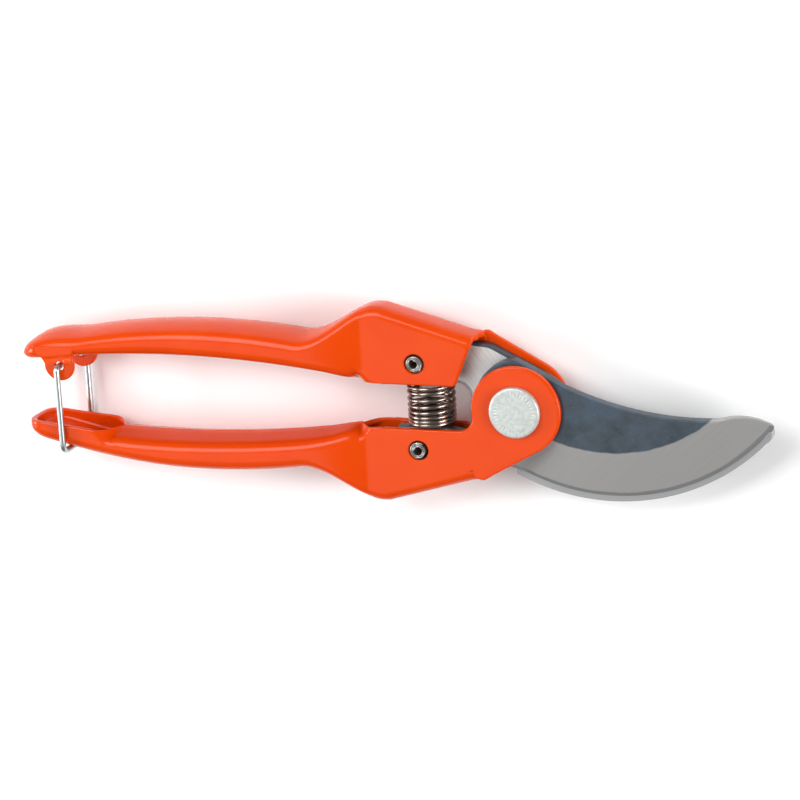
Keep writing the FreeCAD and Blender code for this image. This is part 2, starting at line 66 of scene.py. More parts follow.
def node(tree, kind, inputs=None, **settings):
    """Adds one shader node. inputs maps a socket's name or number to a value or an output."""
    new = tree.nodes.new("ShaderNode" + kind)
    for key, value in settings.items():
        setattr(new, key, value)
    for name, value in (inputs or {}).items():
        if isinstance(value, bpy.types.NodeSocket):
            tree.links.new(value, new.inputs[name])
        else:
            new.inputs[name].default_value = value
    return new


def finish(name):
    """A new material with an empty tree: returns it, its tree and a Principled shader."""
    made = bpy.data.materials.new(name)
    made.use_nodes = True
    tree = made.node_tree
    tree.nodes.clear()
    shader = node(tree, "BsdfPrincipled")
    node(tree, "OutputMaterial", {"Surface": shader.outputs["BSDF"]})
    return made, tree, shader


def soft_light(name, place, aim, width, height, power):
    """A rectangular area light at place, turned to face aim; both in metres."""
    lamp = bpy.data.lights.new(name, "AREA")
    lamp.shape = "RECTANGLE"
    lamp.size, lamp.size_y, lamp.energy = width, height, power
    holder = bpy.data.objects.new(name, lamp)
    holder.location = place
    holder.rotation_euler = (Vector(aim) - Vector(place)).to_track_quat("-Z", "Y").to_euler()
    bpy.context.scene.collection.objects.link(holder)


TOOL_MIDDLE = (-0.04, 0.0, 0.012)
soft_light("overhead box", (-0.40, 0.52, 0.85), TOOL_MIDDLE, 0.60, 0.48, 6.0)
soft_light("front box", (-0.42, -0.34, 0.92), TOOL_MIDDLE, 0.62, 0.5, 1.2)
soft_light("tip box", (1.05, 0.0, 0.55), TOOL_MIDDLE, 0.6, 0.5, 12.0)
soft_light("grip box", (-1.2, 0.0, 0.5), TOOL_MIDDLE, 0.6, 0.4, 10.0)

room = bpy.data.worlds.new("room")
room.use_nodes = True
room.node_tree.nodes["Background"].inputs["Color"].default_value = srgb("#FFFFFF")
room.node_tree.nodes["Background"].inputs["Strength"].default_value = 0.2
bpy.context.scene.world = room

floor_mesh = bpy.data.meshes.new("floor")
floor_mesh.from_pydata([(-3, -3, -0.0002), (3, -3, -0.0002), (3, 3, -0.0002), (-3, 3, -0.0002)],
                       [], [(0, 1, 2, 3)])
floor = bpy.data.objects.new("floor", floor_mesh)
bpy.context.scene.collection.objects.link(floor)
paper, tree, shader = finish("white background paper")
shader.inputs["Base Color"].default_value = srgb("#FFFFFF")
shader.inputs["Roughness"].default_value = 0.9
floor_mesh.materials.append(paper)

lens = bpy.data.cameras.new("camera")
lens.sensor_width, lens.lens = 36.0, 138.06
lens.clip_start = 0.01
camera = bpy.data.objects.new("camera", lens)
camera.matrix_world = Matrix(((0.9440, -0.0407, 0.3272, 0.2482),
                              (-0.0536, 0.9602, 0.2740, 0.2380),
                              (-0.3256, -0.2762, 0.9044, 0.7961),
                              (0.0, 0.0, 0.0, 1.0)))
bpy.context.scene.collection.objects.link(camera)
bpy.context.scene.camera = camera
bpy.context.scene.view_settings.view_transform = "Standard"
bpy.context.scene.view_settings.look = "None"


# ---------------------------------------------------------------- handles
# Two pressings of 1.8 mm sheet steel from one die, dipped in a thick glossy coating. The sheet is
# a channel at the head, where one wall runs on as a round ear, and is rolled shut along the grip.
# The lower handle is the same pressing turned half round about the tool's length.
CONTACT_Z = 11.70
SHEET = 1.80
CHANNEL_HALF = 5.70
GRIP_HALF = 9.0
KNEE_X, KNEE_Y = -39.0, 28.8
WEB_FRONT_X, WEB_FRONT_Y = -11.0, 20.5
CHANNEL_RIM_Y = 6.4
NECK_END_X = -65.0
GRIP_END_X = -142.0
EAR_RADIUS, THROAT = 13.0, 4.0
PIN_X, PIN_Y = -29.0, 12.6


def ease(x, start, end):
    """0 at start, 1 at end, with level ends: three times the square less twice the cube."""
    share = np.clip((x - start) / (end - start), 0, 1)
    return share * share * (3 - 2 * share)


def flat_arc(x, crest_x, crest_y, fall):
    """Height of a circle whose top is the crest and which has dropped by fall at the grip's end."""
    radius = ((GRIP_END_X - crest_x) ** 2 + fall ** 2) / (2 * fall)
    return crest_y - radius + np.sqrt(radius ** 2 - (x - crest_x) ** 2)


def back_line(x):
    """Outer line: straight in front of the knee, easing behind it into the grip's flat arc."""
    x = np.asarray(x, float)
    straight = WEB_FRONT_Y + (KNEE_Y - WEB_FRONT_Y) / (KNEE_X - WEB_FRONT_X) * (x - WEB_FRONT_X)
    grip = flat_arc(x, -94.0, 22.1, 5.6)
    behind = KNEE_Y + (grip - KNEE_Y) * ease(x, KNEE_X - 1.5, NECK_END_X)
    return np.where(x >= KNEE_X, straight, behind) - 0.2 * np.exp(-((x - KNEE_X) / 3.0) ** 2)


def rim_line(x):
    """Inner line: level along the channel, easing into the grip's inner arc."""
    grip = flat_arc(x, -104.0, 11.3, 2.1)
    return CHANNEL_RIM_Y + (grip - CHANNEL_RIM_Y) * ease(x, -42.0, -57.0)


def half_width(x):
    """Half the handle's width: level along the channel, then widening at once behind a crease and
    easing off into the grip.
    """
    share = np.clip((-44.8 - x) / 20.0, 0, 1)
    return CHANNEL_HALF + (GRIP_HALF - CHANNEL_HALF) * share * (2 - share)


BEND = 3.2


def corner_radius(x):
    """Bend radius between wall and back, which grows from the channel to the grip."""
    return BEND + 0.4 * ease(x, -43.5, NECK_END_X)


def crown(x):
    """Angle by which the back is arched on each side: slight on the channel, fuller on the grip."""
    return np.radians(5 + 17 * ease(x, -43.5, NECK_END_X))


class Ending:
    """The rounded end of one handle: its length, and how its outer and inner lines differ."""

    def __init__(self, length, drop, rise, swell, swell_from, rim_rises, opened, square):
        self.length, self.drop, self.rise = length, drop, rise
        self.swell, self.swell_from = swell, swell_from
        self.rim_rises, self.rim_rise, self.opened = rim_rises, 0.0, opened
        self.square = square

    def back(self, x):
        """Outer line with the swell in front of the end and the fall over it."""
        share = np.clip((GRIP_END_X - x) / self.length, 0, 1)
        swell = self.swell * ease(x, GRIP_END_X + self.swell_from, GRIP_END_X)
        return back_line(x) + swell - self.drop * share ** 2

    def rim(self, x):
        """Inner line with the rise over the end."""
        share = np.clip((GRIP_END_X - x) / self.length, 0, 1)
        open_rim = self.rim_rise * ease(x, GRIP_END_X + 26, GRIP_END_X + 4)
        return rim_line(x) - open_rim + self.rise * share ** 2

    def fold(self, x):
        """How far the flanges are folded in: 0 upright, 1 shut against each other."""
        shut = ease(x, -40.5, -49.5)
        return shut * (1 - self.opened * ease(x, -121.0, -129.5))


UPPER_ENDING = Ending(8.6, 0.9, 0.1, 1.3, 12.0, {1: 0.0, -1: 0.0}, 0.0, 2.7)
LOWER_ENDING = Ending(7.4, 0.8, 0.2, -0.8, 42.0, {1: -0.1, -1: 0.6}, 0.93, 3.6)


def half_section(x, ending):
    """One side of the sheet across the handle at each x, from the middle of the back to the flange
    edge: slightly crowned back, corner arc, wall, bend by the fold angle, flange. Returns the outer
    line and then, round the edge, the inner line one sheet inside it, as Y and Z arrays.
    """
    x = np.asarray(x, float)[:, None]
    back, rim = ending.back(x), ending.rim(x)
    half = half_width(x)
    bend, fold, arch = corner_radius(x), ending.fold(x), crown(x)
    turn = np.radians(1.0 + 75.0 * fold)
    broad = (half - bend * (1 - np.sin(arch))) / np.sin(arch)
    corner_y, corner_z = back - (broad - (broad - bend) * np.cos(arch)), half - bend
    tight, seam, edge = 3.5, 0.14, 0.55
    wanted = 0.8 + 6.4 * fold ** 2
    fits = (corner_y - rim) / (tight * np.sin(turn) + wanted * np.cos(turn))
    tight = tight * np.clip(fits, 0.05, 1)
    reach = (half - tight * (1 - np.cos(turn)) - seam) / np.sin(turn)
    length = np.minimum(reach, wanted)
    edge = np.minimum(edge, 0.6 * length)
    wall_end = rim + tight * np.sin(turn) + length * np.cos(turn)
    ones = np.ones_like(x)

    angle = arch * np.linspace(0, 1, 7)[None, :]
    lines = [(back - broad * (1 - np.cos(angle)), broad * np.sin(angle),
              np.cos(angle) * ones, np.sin(angle) * ones)]
    angle = arch + (np.pi / 2 - arch) * np.linspace(0, 1, 12)[None, 1:]
    lines.append((corner_y + bend * np.cos(angle), corner_z + bend * np.sin(angle),
                  np.cos(angle) * ones, np.sin(angle) * ones))
    share = np.linspace(0, 1, 10)[None, 1:]
    lines.append((corner_y + (wall_end - corner_y) * share, half + 0 * share,
                  0 * ones * share, ones + 0 * share))
    angle = turn * np.linspace(0, 1, 10)[None, 1:]
    lines.append((wall_end - tight * np.sin(angle), half - tight * (1 - np.cos(angle)),
                  -np.sin(angle), np.cos(angle)))
    along = (length - edge) * np.linspace(0, 1, 7)[None, 1:]
    bent_y, bent_z = wall_end - tight * np.sin(turn), half - tight * (1 - np.cos(turn))
    lines.append((bent_y - np.cos(turn) * along, bent_z - np.sin(turn) * along,
                  -np.sin(turn) + 0 * along, np.cos(turn) + 0 * along))
    y, z, across_y, across_z = (np.concatenate(part, axis=1) for part in zip(*lines))

    roll = np.radians(np.linspace(0, 180, 8))[None, 1:-1]
    depth = SHEET * (1 - np.cos(roll)) / 2
    along = length - edge + edge * np.sin(roll) ** 0.7
    rim_y = bent_y - np.cos(turn) * along + np.sin(turn) * depth
    rim_z = bent_z - np.sin(turn) * along - np.cos(turn) * depth
    inner_y, inner_z = (y - SHEET * across_y)[:, ::-1], (z - SHEET * across_z)[:, ::-1]
    return np.hstack([y, rim_y, inner_y]), np.hstack([z, rim_z, inner_z])


def swept_grip(ending, side):
    """The rolled grip from the knee to its end, on one side. Rows are sections along X. Over the
    end the last section is turned about a line through its middle, so in plan it ends as half a
    squarish ellipse, and its heights are scaled between the falling outer and the rising inner line.
    """
    ending.rim_rise = ending.rim_rises[side]
    x = np.concatenate([np.linspace(KNEE_X, NECK_END_X, 48), np.linspace(NECK_END_X, -112, 40)[1:],
                        np.linspace(-112, GRIP_END_X, 40)[1:]])
    y, z = half_section(x, ending)
    plain = np.stack([x[:, None] + 0 * y, y, z], axis=-1)
    out = z[-1] / GRIP_HALF
    height = (y[-1] - ending.rim(GRIP_END_X)) / (ending.back(GRIP_END_X) - ending.rim(GRIP_END_X))
    turn = np.radians(np.linspace(0, 90, 25))[1:, None]
    power = 2 / ending.square
    end_x = GRIP_END_X - ending.length * out * np.sin(turn) ** power
    middle = (ending.rim_rises[1] + ending.rim_rises[-1]) / 2
    ending.rim_rise = middle + (ending.rim_rises[side] - middle) * np.cos(turn)
    low, high = ending.rim(end_x), ending.back(end_x)
    ending.rim_rise = 0.0
    inwards = GRIP_HALF * out * np.clip(np.cos(turn), 0, 1) ** power
    rounded = np.stack([end_x, low + height * (high - low), inwards], axis=-1)
    return np.concatenate([plain, rounded]) * (1, 1, side)


def channel_back():
    """The back and its two bends in front of the knee: the section's outer line along X, rolled
    over the cut front edge, which lifts to a slight lip and is a little ragged, and back inside.
    """
    y, z = half_section(np.array([KNEE_X, WEB_FRONT_X]), UPPER_ENDING)
    count = 18
    outer_y, outer_z = y[:, :count], z[:, :count]
    inner_y, inner_z = y[:, ::-1][:, :count], z[:, ::-1][:, :count]
    both = [np.hstack([part[:, ::-1] * sign, part[:, 1:]])
            for part, sign in ((outer_y, 1), (outer_z, -1), (inner_y, 1), (inner_z, -1))]
    share = np.linspace(0, 1, 40)[:, None]
    across = both[1][0]
    front = WEB_FRONT_X - 0.8 - 0.18 * across + 0.2 * np.sin(across * 1.7) * (1 - (across / 5.7) ** 2)
    x = KNEE_X + (front - KNEE_X) * share
    lip = 0.45 * ease(x, -14.5, WEB_FRONT_X) * ease(across, 2.0, -5.0) * ease(across, -5.7, -4.5)

    def over(line):
        """Straight from the knee's section to the front one, and on along the same slope."""
        slope = (line[1] - line[0]) / (WEB_FRONT_X - KNEE_X)
        return line[0] + slope * (x - KNEE_X)

    outer = np.stack([x, over(both[0]) + lip, over(both[1])], axis=-1)
    inner = np.stack([x, over(both[2]) + lip, over(both[3])], axis=-1)
    roll = np.radians(np.linspace(0, 180, 7))[1:-1, None]
    mix = ((1 - np.cos(roll)) / 2)[..., None]
    edge = outer[-1] * (1 - mix) + inner[-1] * mix
    edge[..., 0] += 0.5 * np.sin(roll) ** 0.7
    return np.concatenate([outer, edge, inner[::-1]])


def circle(x, y, radius, start, end, steps):
    """Points of an arc about (x, y), with angles in degrees."""
    turn = np.radians(np.linspace(start, end, steps))
    return np.stack([x + radius * np.cos(turn), y + radius * np.sin(turn)], axis=-1)


def arc(first, middle, last, step=0.8):
    """Points of the circle through three points, from the first to the last."""
    (ax, ay), (bx, by), (cx, cy) = first, middle, last
    scale = 2 * (ax * (by - cy) + bx * (cy - ay) + cx * (ay - by))
    a, b, c = ax * ax + ay * ay, bx * bx + by * by, cx * cx + cy * cy
    x = (a * (by - cy) + b * (cy - ay) + c * (ay - by)) / scale
    y = (a * (cx - bx) + b * (ax - cx) + c * (bx - ax)) / scale
    radius = math.hypot(ax - x, ay - y)
    start = math.degrees(math.atan2(ay - y, ax - x))
    end = math.degrees(math.atan2(cy - y, cx - x))
    clockwise = (bx - ax) * (cy - ay) - (by - ay) * (cx - ax) < 0
    sweep = -((start - end) % 360) if clockwise else (end - start) % 360
    steps = max(int(abs(math.radians(sweep)) * radius / step), 4)
    return circle(x, y, radius, start, start + sweep, steps)


def run(*corners, step=1.0):
    """Points along straight runs between corners, about one step apart, without the last corner."""
    runs = []
    for a, b in zip(np.array(corners[:-1], float), np.array(corners[1:], float)):
        count = max(int(np.linalg.norm(b - a) / step), 1)
        runs.append(a + (b - a) * np.linspace(0, 1, count + 1)[:-1, None])
    return np.concatenate(runs)


def tangent_point(point, radius):
    """Where a line from the point touches the circle about the pivot, on its front upper side."""
    turn = math.atan2(point[1], point[0]) - math.acos(radius / math.hypot(*point))
    return radius * math.cos(turn), radius * math.sin(turn), math.degrees(turn)


def wall_seat(x):
    """Height at which the wall's flat meets its bend to the back, along the channel."""
    arch = float(crown(0.0))
    broad = (CHANNEL_HALF - BEND * (1 - math.sin(arch))) / math.sin(arch)
    return back_line(x) - (broad - (broad - BEND) * math.cos(arch))


def eared_wall():
    """Outline of the wall that carries the ear, and which of its points are free sheet edge."""
    shared = run((KNEE_X, wall_seat(KNEE_X)), (-13.4, wall_seat(-13.4)))
    touch_x, touch_y, top = tangent_point((-6.9, 18.7), EAR_RADIUS)
    reach = EAR_RADIUS + THROAT
    throat_x = -math.sqrt(reach ** 2 - (CHANNEL_RIM_Y - THROAT) ** 2)
    meet = math.degrees(math.atan2(CHANNEL_RIM_Y - THROAT, throat_x))
    lip = run((-13.4, float(wall_seat(-13.4))), (-12.9, 19.6), (-12.2, 20.1), (-10.9, 20.5),
              (-9.9, 20.5), (-9.2, 20.1), (-6.9, 18.7), step=0.5)
    free = np.concatenate([lip, run((-6.9, 18.7), (touch_x, touch_y)),
                           circle(0, 0, EAR_RADIUS, top, meet - 360, 90)[:-1],
                           circle(throat_x, CHANNEL_RIM_Y - THROAT, THROAT, meet - 180, 90, 14),
                           run((throat_x - 0.5, CHANNEL_RIM_Y), (KNEE_X, CHANNEL_RIM_Y))])
    closing = run((KNEE_X, CHANNEL_RIM_Y), (KNEE_X, wall_seat(KNEE_X)))
    loop = np.concatenate([shared, free, closing])
    is_free = np.concatenate([np.zeros(len(shared)), np.ones(len(free)), np.zeros(len(closing))])
    is_free = (np.roll(is_free, 1) + is_free + np.roll(is_free, -1)) / 3 * is_free
    return loop, is_free


def short_wall():
    """Outline of the wall that stops at a slanted front edge, and its free points."""
    back_x, rim_x, corner = -12.7, -17.4, 1.1
    shared = run((KNEE_X, wall_seat(KNEE_X)), (back_x, wall_seat(back_x)))
    top, foot = np.array([back_x, float(wall_seat(back_x))]), np.array([rim_x, CHANNEL_RIM_Y])
    down = (foot - top) / np.linalg.norm(foot - top)
    before, after = foot - down * corner, foot + (-corner, 0)
    share = np.linspace(0, 1, 8)[:, None]
    bend = before * (1 - share) ** 2 + 2 * foot * share * (1 - share) + after * share ** 2
    free = np.concatenate([run(top, before), bend[:-1], run(after, (KNEE_X, CHANNEL_RIM_Y))])
    closing = run((KNEE_X, CHANNEL_RIM_Y), (KNEE_X, wall_seat(KNEE_X)))
    loop = np.concatenate([shared, free, closing])
    is_free = np.concatenate([np.zeros(len(shared)), np.ones(len(free)), np.zeros(len(closing))])
    is_free = (np.roll(is_free, 1) + is_free + np.roll(is_free, -1)) / 3 * is_free
    return loop, is_free


def inward(loop, hole=False):
    """For each point of a closed outline, the step towards the material that moves both of its
    sides in by one: the sum of the two side normals over their even share.
    """
    after = np.roll(loop, -1, axis=0) - loop
    after /= np.linalg.norm(after, axis=1, keepdims=True)
    before = np.roll(after, 1, axis=0)
    area = np.sum(loop[:, 0] * np.roll(loop[:, 1], -1) - np.roll(loop[:, 0], -1) * loop[:, 1])
    sign = math.copysign(1, area) * (-1 if hole else 1)
    normals = [np.stack([-side[:, 1], side[:, 0]], axis=-1) * sign for side in (after, before)]
    total = normals[0] + normals[1]
    total /= np.linalg.norm(total, axis=1, keepdims=True)
    return total / np.clip(np.sum(total * normals[0], axis=1, keepdims=True), 0.5, 1)


class Shell:
    """Gathers the surfaces of one piece and makes its mesh."""

    def __init__(self):
        self.points, self.faces, self.slots, self.count = [], [], [], 0

    def add(self, points, faces, slot=0):
        """Adds points and faces, numbering the faces from these points."""
        points = np.asarray(points, float).reshape(-1, 3)
        self.points.append(points)
        self.faces += [tuple(int(i) + self.count for i in face) for face in faces]
        self.slots += [slot] * len(faces)
        self.count += len(points)

    def surface(self, rows, slot=0, round_rows=False, round_columns=False):
        """A sheet of quads over a grid of points, joined end to start where it is round."""
        index = np.arange(rows.shape[0] * rows.shape[1]).reshape(rows.shape[:2])
        index = np.vstack([index, index[:1]]) if round_rows else index
        index = np.hstack([index, index[:, :1]]) if round_columns else index
        quads = np.stack([index[:-1, :-1], index[1:, :-1], index[1:, 1:], index[:-1, 1:]], axis=-1)
        self.add(rows, quads.reshape(-1, 4), slot)

    def face(self, loops, height, slot=0, extra=None):
        """A face inside the first loop and outside the others, at height(x, y)."""
        flat = np.concatenate(list(loops) + ([extra] if extra is not None else []))
        edges, start = [], 0
        for loop in loops:
            number = np.arange(len(loop)) + start
            edges += list(zip(number.tolist(), np.roll(number, -1).tolist()))
            start += len(loop)
        made = delaunay_2d_cdt([Vector(p) for p in flat], edges, [], 1, 1e-6)
        spots = np.array([tuple(p) for p in made[0]])
        faces = [f for f in made[2] if not any(inside(spots[list(f)].mean(axis=0), hole)
                                               for hole in loops[1:])]
        self.add(np.column_stack([spots, height(spots[:, 0], spots[:, 1])]), faces, slot)

    def plate(self, loops, low, high, edge, free=None, slots=(0, 0), extra=None):
        """A sheet between two heights with rounded free edges. Each outline is moved in by its
        edge radius times one less the cosine of the angle round its edge, and the faces are
        filled. high may be a function of x and y.
        """
        top = high if callable(high) else lambda x, y: np.full(np.shape(x), float(high))
        turn = np.radians(np.linspace(90, 0, 5))
        moved = np.concatenate([[2.2], 1 - np.cos(turn), 1 - np.cos(turn[::-1]), [2.2]])
        drop = np.concatenate([[0.0], 1 - np.sin(turn)])
        tops, bottoms = [], []
        for number, loop in enumerate(loops):
            radius = np.broadcast_to(edge if number == 0 else 0.3, len(loop))[:, None]
            step = inward(loop, hole=number > 0) * radius
            if free is not None and number == 0:
                step = step * free[:, None]
            rings = loop[None] + step[None] * moved[:, None, None]
            upper_z = top(rings[:6, :, 0], rings[:6, :, 1]) - drop[:, None] * radius[:, 0]
            lower_z = low + drop[::-1, None] * radius[:, 0]
            rings = np.concatenate([rings, np.concatenate([upper_z, lower_z])[..., None]], axis=-1)
            self.surface(rings, slots[1], round_columns=True)
            tops.append(rings[0][:, :2])
            bottoms.append(rings[-1][:, :2])
        self.face(tops, top, slots[0], extra)
        self.face(bottoms, lambda x, y: np.full(len(x), low), slots[0])

    def piece(self, name, materials, turned=False, sharp=40.0):
        """The finished object, lifted to its height over the nut and with its faces outwards."""
        points = np.concatenate(self.points)
        if turned:
            points = points * (1, -1, -1)
        mesh = bpy.data.meshes.new(name)
        mesh.from_pydata((points + (0, 0, CONTACT_Z)) * 0.001, [], self.faces)
        for material in materials:
            mesh.materials.append(material)
        mesh.polygons.foreach_set("material_index", self.slots)
        whole = bmesh.new()
        whole.from_mesh(mesh)
        bmesh.ops.remove_doubles(whole, verts=whole.verts, dist=2e-6)
        bmesh.ops.dissolve_degenerate(whole, edges=whole.edges, dist=1e-7)
        bmesh.ops.recalc_face_normals(whole, faces=whole.faces)
        whole.to_mesh(mesh)
        whole.free()
        mesh.shade_smooth()
        mesh.set_sharp_from_angle(angle=math.radians(sharp))
        made = bpy.data.objects.new(name, mesh)
        bpy.context.scene.collection.objects.link(made)
        return made


def inside(point, loop):
    """Whether a point lies in a closed outline: an odd number of sides cross the ray to its right."""
    x, y = loop[:, 0] - point[0], loop[:, 1] - point[1]
    next_x, next_y = np.roll(x, -1), np.roll(y, -1)
    crosses = (y > 0) != (next_y > 0)
    rise = np.where(next_y == y, 1.0, next_y - y)
    return np.count_nonzero(crosses & (x - y * (next_x - x) / rise > 0)) % 2 == 1


def pressing(ending):
    """The whole stamping in the upper handle's place: grip, back, eared far wall, short near wall."""
    shell = Shell()
    for side in (1, -1):
        shell.surface(swept_grip(ending, side))
    shell.surface(channel_back())
    pin_hole = circle(PIN_X, PIN_Y, 2.85, 0, 360, 41)[:-1]
    loop, free = eared_wall()
    shell.plate([loop, pin_hole], -CHANNEL_HALF, SHEET - CHANNEL_HALF, 0.6, free)
    loop, free = short_wall()
    shell.plate([loop, pin_hole], CHANNEL_HALF - SHEET, CHANNEL_HALF, 0.6, free)
    return shell


# Dip coating, a thick glossy orange plastic skin over steel: even colour, a sharp reflection from
# the smooth skin, and a very faint orange-peel unevenness a couple of millimetres across.
coating, tree, shader = finish("glossy orange dip coating")
place = node(tree, "TexCoord").outputs["Object"]
clouds = node(tree, "TexNoise", {"Vector": place, "Scale": 60.0, "Detail": 2.0})
tint = node(tree, "ValToRGB", {"Fac": clouds.outputs["Fac"]})
tint.color_ramp.elements[0].position, tint.color_ramp.elements[0].color = 0.3, srgb("#DC4102")
tint.color_ramp.elements[1].position, tint.color_ramp.elements[1].color = 0.7, srgb("#DF4602")
tree.links.new(tint.outputs["Color"], shader.inputs["Base Color"])
peel = node(tree, "TexNoise", {"Vector": place, "Scale": 450.0, "Detail": 1.0})
skin = node(tree, "Bump", {"Height": peel.outputs["Fac"], "Strength": 0.05, "Distance": 0.0004})
tree.links.new(skin.outputs["Normal"], shader.inputs["Normal"])
shader.inputs["Roughness"].default_value = 0.2
shader.inputs["IOR"].default_value = 1.32


# The upper handle's end is closed to a blunt nose, and each side hangs down as a half-round lug
# with a hole for the wire loop and a small pressed step beside it.
LOOP_X, LOOP_Y = -137.2, 8.7


def lug(shell, side):
    """A flat tongue that runs down from the grip's wall and ends half round about the loop's hole.
    The near one is pressed in by half a millimetre below a sagging line, with a small bar left
    standing in front of the hole.
    """
    left = arc((LOOP_X - 8.0, 12.6), (LOOP_X - 5.9, 11.2), (LOOP_X - 4.75, 9.2), 0.5)[:-1]
    disc = circle(LOOP_X, LOOP_Y + 0.3, 4.75, 175, 355, 40)
    right = run((LOOP_X + 4.75, 8.8), (LOOP_X + 4.75, 14.5), step=0.6)
    top = run((LOOP_X + 4.75, 14.5), (LOOP_X - 8.0, 14.5), (LOOP_X - 8.0, 12.6))
    outline = np.concatenate([left, disc, right[1:], top])
    free = np.concatenate([np.ones(len(left) + len(disc)), np.ones(6), np.zeros(len(right) - 7),
                           np.zeros(len(top))])
    hole = circle(LOOP_X, LOOP_Y, 1.35, 0, 360, 29)[:-1]

    def pressed(x, y):
        """Depth below the wall's face."""
        line = 11.6 + 0.012 * (x - LOOP_X) ** 2 * np.sign(LOOP_X - x) + 0.15 * (x - LOOP_X)
        below = ease(y, line + 0.5, line - 0.5)
        bar = ease(x, LOOP_X + 1.4, LOOP_X + 1.9) * ease(np.abs(y - 10.0), 0.9, 0.45)
        return GRIP_HALF + 0.02 - 0.5 * below + 0.35 * bar * below

    if side > 0:
        x, y = np.meshgrid(np.arange(-8, 4.8, 0.33) + LOOP_X, np.arange(4.2, 14.4, 0.33))
        extra = np.stack([x, y], axis=-1).reshape(-1, 2)
        room = outline + inward(outline) * 1.5
        away = np.hypot(extra[:, 0] - LOOP_X, extra[:, 1] - LOOP_Y) > 2.2
        extra = extra[away & np.array([inside(point, room) for point in extra])]
        shell.plate([outline, hole], GRIP_HALF - SHEET, pressed, 0.55, free, extra=extra)
    else:
        shell.plate([outline, hole], -GRIP_HALF - 0.02, SHEET - GRIP_HALF, 0.55, free)


upper = pressing(UPPER_ENDING)
for side in (1, -1):
    lug(upper, side)
upper_handle = upper.piece("upper_handle_pressing", [coating])
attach(upper_handle, "upper")
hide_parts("upper_handle")

# The lower handle's end is left open like a scoop, where the closing loop hooks under it.
lower_handle = pressing(LOWER_ENDING).piece("lower_handle_pressing", [coating], turned=True)
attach(lower_handle, "lower")
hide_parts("lower_handle")

# ---------------------------------------------------------------- blades
# Two forged plates of tool steel, hardened and blackened, each with a tang inside one handle. The
# hooked blade's near face is surface-ground. The cutting blade lies on it and is hollow-ground on
# its near side to a thin edge, with a narrow second bevel along the edge itself.
PLATE_INNER, PLATE_OUTER = 0.05, 3.80
HEAD_RADIUS = 14.5
TANG_END_X, TANG_EDGE_Y, PEG_TIP_Y, PEG_HALF = -35.4, 6.25, 3.6, 3.55
SPRING_X = -26.2
EDGE_X, EDGE_Y, EDGE_RADIUS = 26.0, 33.7, 58.4
HOLLOW_RADIUS = 45.0
GRIND_X, GRIND_Y, GRIND_ACROSS_X, GRIND_ACROSS_Y = 1.8, -18.1, 0.653, -0.758


# Bare steel is left by the wheel: even grey, with fine parallel scratches a fraction of a
# millimetre apart, drawn coarser here so that they show as soft streaks, and a blurred reflection.
def wheel_marks(tree, angle, across, along):
    """Streaks that run at an angle to X; across and along are marks per metre. Gives 0 to 1."""
    place = node(tree, "TexCoord").outputs["Object"]
    turned = node(tree, "Mapping", {"Vector": place, "Rotation": (0, 0, math.radians(-angle))})
    drawn = node(tree, "Mapping", {"Vector": turned.outputs["Vector"],
                                   "Scale": (along, across, 1.0)})
    return node(tree, "TexNoise", {"Vector": drawn.outputs["Vector"], "Scale": 1.0,
                                   "Detail": 4.0, "Roughness": 0.65}).outputs["Fac"]


def ramp(tree, value, *stops):
    """A colour that follows a value through the given (place, hex colour) stops."""
    made = node(tree, "ValToRGB", {"Fac": value})
    ends = made.color_ramp.elements
    while len(ends) < len(stops):
        ends.new(0.5)
    for end, (spot, code) in zip(ends, stops):
        end.position = spot
    for end, (spot, code) in zip(ends, stops):
        end.color = srgb(code)
    return made.outputs["Color"]


ground_face, tree, shader = finish("surface-ground steel")
marks = wheel_marks(tree, 128.0, 1400.0, 60.0)
beside = node(tree, "VectorMath", {0: node(tree, "TexCoord").outputs["Object"], 1: (1, -1, 0)},
              operation="DOT_PRODUCT").outputs["Value"]
hooked = node(tree, "MapRange", {"Value": beside, "From Min": -0.005, "From Max": 0.005}).outputs[0]
streaks = ramp(tree, marks, (0.3, "#CBCAC8"), (0.7, "#E6E5E2"))
mixed = node(tree, "Mix", {0: hooked, 6: streaks, 7: srgb("#9FA0A1")}, data_type="RGBA").outputs[2]
tree.links.new(mixed, shader.inputs["Base Color"])
dent = node(tree, "Bump", {"Height": marks, "Strength": 0.05, "Distance": 0.00005})
tree.links.new(dent.outputs["Normal"], shader.inputs["Normal"])
shader.inputs["Metallic"].default_value = 0.5
shader.inputs["Roughness"].default_value = 0.4


# Blackened steel is a thin oxide from the hardening bath: blue-grey and half matt, with cloudy
# patches a few millimetres wide and tiny pale specks.
def oxide(tree):
    """The oxide's colour."""
    place = node(tree, "TexCoord").outputs["Object"]
    cloud = node(tree, "TexNoise", {"Vector": place, "Scale": 170.0, "Detail": 3.0})
    tint = ramp(tree, cloud.outputs["Fac"], (0.30, "#3F4850"), (0.50, "#4A545D"),
                (0.64, "#4A5A69"), (0.78, "#54636F"))
    speck = node(tree, "TexNoise", {"Vector": place, "Scale": 1900.0, "Detail": 2.0})
    dust = node(tree, "MapRange", {"Value": speck.outputs["Fac"], "From Min": 0.60,
                                   "From Max": 0.74, "To Max": 0.13})
    return node(tree, "Mix", {0: dust.outputs["Result"], 6: tint, 7: srgb("#8C979F")},
                data_type="RGBA").outputs[2]


blackened, tree, shader = finish("blackened steel")
tree.links.new(oxide(tree), shader.inputs["Base Color"])
shader.inputs["Metallic"].default_value = 0.55
shader.inputs["Roughness"].default_value = 0.42

